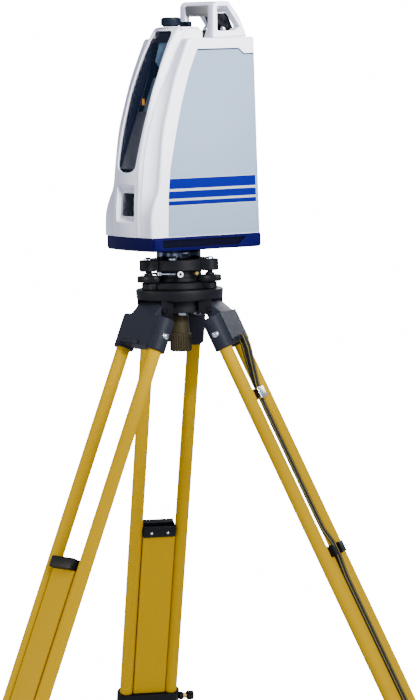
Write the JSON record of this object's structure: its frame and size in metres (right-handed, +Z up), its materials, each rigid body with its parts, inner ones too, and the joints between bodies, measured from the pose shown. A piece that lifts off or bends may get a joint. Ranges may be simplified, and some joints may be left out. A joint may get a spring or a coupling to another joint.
{
  "type": "terrestrial laser scanner",
  "caption": "Surveying laser scanner with a curved front window, on a tribrach and a folding tripod with sliding legs.",
  "frame": {"origin": "on the ground, plumb under the vertical axis that the scanner turns about", "axes": "+Z up along the vertical axis; the scanner's window faces -Y; its right side panel faces +X"},
  "size_m": [1.0796, 1.0351, 1.6898],
  "materials": {
    "black_casting": "satin",
    "yoke_plastic": "matte",
    "yellow_tube": "gloss",
    "yellow_panel": "satin",
    "black_moulding": "matte",
    "knob_brass": "satin",
    "foot_iron": "matte",
    "webbing": "woven",
    "bright_steel": "polished",
    "screw_plastic": "satin",
    "knurled_black": "knurled",
    "eyepiece_black": "gloss",
    "turned_steel": "turned",
    "gear_brass": "machined",
    "blue_base": "gloss",
    "white_shell": "satin",
    "side_panel": "fine texture",
    "window_glass": "polished",
    "inner_black": "matte",
    "mirror_face": "polished",
    "module_metal": "anodised",
    "battery_case": "matte",
    "grip_rubber": "matte",
    "dark_cover": "gloss",
    "cap_black": "satin"
  },
  "bodies": {
    "stand": {"head_plate": "black_casting", "tribrach_top": "black_casting", "tribrach_base": "black_casting", "spindle": "turned_steel", "pan_bearing": "turned_steel", "pan_gear": "gear_brass"},
    "scanner": {"base_tray": "blue_base", "housing_right": "white_shell", "housing_left": "white_shell", "front_cowl": "white_shell", "side_panel_right": "side_panel", "side_panel_left": "side_panel", "window_glass": "window_glass", "chassis": "inner_black", "mirror_motor": "inner_black", "lidar_module": "module_metal", "battery": "battery_case", "handle_frame": "white_shell", "handle_grip": "grip_rubber", "handle_back": "dark_cover"},
    "spinning_mirror": {"mirror": "mirror_face"},
    "pinion": {"pan_pinion": "turned_steel"},
    "port_door": {"port_cover": "dark_cover"},
    "button": {"power_button": "dark_cover"},
    "cap": {"top_cap": "cap_black"},
    "central_screw": {"fixing_screw": "screw_plastic"},
    "lever": {"clamp_lever": "bright_steel"},
    "eyepiece_ring": {"eyepiece": "eyepiece_black"},
    "levelling_1": {"foot_screw_1": "knurled_black"},
    "levelling_2": {"foot_screw_2": "knurled_black"},
    "levelling_3": {"foot_screw_3": "knurled_black"},
    "leg_1": {"yoke_1": "yoke_plastic", "tube_a_1": "yellow_tube", "tube_b_1": "yellow_tube", "cross_bracket_1": "black_moulding", "leg_panel_1": "yellow_panel", "collar_1": "black_moulding"},
    "lower_leg_1": {"inner_leg_1": "yellow_panel", "foot_1": "foot_iron"},
    "clamp_1": {"clamp_knob_1": "knob_brass"},
    "leg_2": {"yoke_2": "yoke_plastic", "tube_a_2": "yellow_tube", "tube_b_2": "yellow_tube", "cross_bracket_2": "black_moulding", "leg_panel_2": "yellow_panel", "collar_2": "black_moulding", "strap": "webbing", "strap_buckle": "bright_steel"},
    "lower_leg_2": {"inner_leg_2": "yellow_panel", "foot_2": "foot_iron"},
    "clamp_2": {"clamp_knob_2": "knob_brass"},
    "leg_3": {"yoke_3": "yoke_plastic", "tube_a_3": "yellow_tube", "tube_b_3": "yellow_tube", "cross_bracket_3": "black_moulding", "leg_panel_3": "yellow_panel", "collar_3": "black_moulding"},
    "lower_leg_3": {"inner_leg_3": "yellow_panel", "foot_3": "foot_iron"},
    "clamp_3": {"clamp_knob_3": "knob_brass"}
  },
  "joints": [
    {"name": "pan", "type": "hinge", "parent": "stand", "child": "scanner", "pos_m": [0, 0, 1.2608], "axis": [0, 0, 1], "continuous": true},
    {"name": "pan_pinion_spin", "type": "hinge", "parent": "scanner", "child": "pinion", "pos_m": [0, 0.06, 1.2718], "axis": [0, 0, 1], "continuous": true},
    {"name": "mirror_spin", "type": "hinge", "parent": "scanner", "child": "spinning_mirror", "pos_m": [0, -0.004, 1.5908], "axis": [1, 0, 0], "continuous": true},
    {"name": "port_cover_swing", "type": "hinge", "parent": "scanner", "child": "port_door", "pos_m": [-0.019, -0.09919, 1.34207], "axis": [0, 0.0955, 0.9954], "range_deg": [-110, 0]},
    {"name": "power_button_press", "type": "slide", "parent": "scanner", "child": "button", "axis": [0, -1, 0], "range_m": [0, 0.0015], "stiffness_N_per_m": 600, "springref_m": -0.001},
    {"name": "top_cap_turn", "type": "hinge", "parent": "scanner", "child": "cap", "pos_m": [0, -0.004, 1.6471], "axis": [0, 0, 1], "continuous": true},
    {"name": "fixing_screw_turn", "type": "hinge", "parent": "stand", "child": "central_screw", "pos_m": [0, 0, 1.1], "axis": [0, 0, 1], "continuous": true},
    {"name": "clamp_lever_swing", "type": "hinge", "parent": "stand", "child": "lever", "pos_m": [0.0209, -0.0515, 1.2187], "axis": [0, 0, 1], "range_deg": [-60, 0]},
    {"name": "eyepiece_focus", "type": "hinge", "parent": "stand", "child": "eyepiece_ring", "pos_m": [0.049, -0.02627, 1.2183], "axis": [0.8813, -0.4726, 0], "range_deg": [-150, 150]},
    {"name": "foot_screw_1_turn", "type": "hinge", "parent": "stand", "child": "levelling_1", "pos_m": [0, -0.062, 1.209], "axis": [0, 0, 1], "continuous": true},
    {"name": "foot_screw_2_turn", "type": "hinge", "parent": "stand", "child": "levelling_2", "pos_m": [0.05369, 0.031, 1.209], "axis": [0, 0, 1], "continuous": true},
    {"name": "foot_screw_3_turn", "type": "hinge", "parent": "stand", "child": "levelling_3", "pos_m": [-0.05369, 0.031, 1.209], "axis": [0, 0, 1], "continuous": true},
    {"name": "leg_1_fold", "type": "hinge", "parent": "stand", "child": "leg_1", "pos_m": [0.01196, -0.0645, 1.1545], "axis": [0.9833, 0.1822, 0], "range_deg": [0, 23]},
    {"name": "leg_1_extend", "type": "slide", "parent": "leg_1", "child": "lower_leg_1", "axis": [0.0776, -0.4186, -0.9048], "range_m": [-0.33, 0.2]},
    {"name": "clamp_knob_1_turn", "type": "hinge", "parent": "leg_1", "child": "clamp_1", "pos_m": [0.01915, -0.43038, 0.38721], "axis": [-0.9833, -0.1822, 0], "continuous": true},
    {"name": "leg_2_fold", "type": "hinge", "parent": "stand", "child": "leg_2", "pos_m": [0.04988, 0.0426, 1.1545], "axis": [-0.6494, 0.7604, 0], "range_deg": [0, 23]},
    {"name": "leg_2_extend", "type": "slide", "parent": "leg_2", "child": "lower_leg_2", "axis": [0.3238, 0.2765, -0.9048], "range_m": [-0.33, 0.2]},
    {"name": "clamp_knob_2_turn", "type": "hinge", "parent": "leg_2", "child": "clamp_2", "pos_m": [0.36314, 0.23177, 0.38721], "axis": [0.6494, -0.7604, 0], "continuous": true},
    {"name": "leg_3_fold", "type": "hinge", "parent": "stand", "child": "leg_3", "pos_m": [-0.06184, 0.0219, 1.1545], "axis": [-0.3338, -0.9426, 0], "range_deg": [0, 23]},
    {"name": "leg_3_extend", "type": "slide", "parent": "leg_3", "child": "lower_leg_3", "axis": [-0.4014, 0.1421, -0.9048], "range_m": [-0.33, 0.2]},
    {"name": "clamp_knob_3_turn", "type": "hinge", "parent": "leg_3", "child": "clamp_3", "pos_m": [-0.38229, 0.1986, 0.38721], "axis": [0.3338, 0.9426, 0], "continuous": true}
  ],
  "couplings": [
    {"joint": "pan_pinion_spin", "follows": "pan", "ratio": 4}
  ]
}
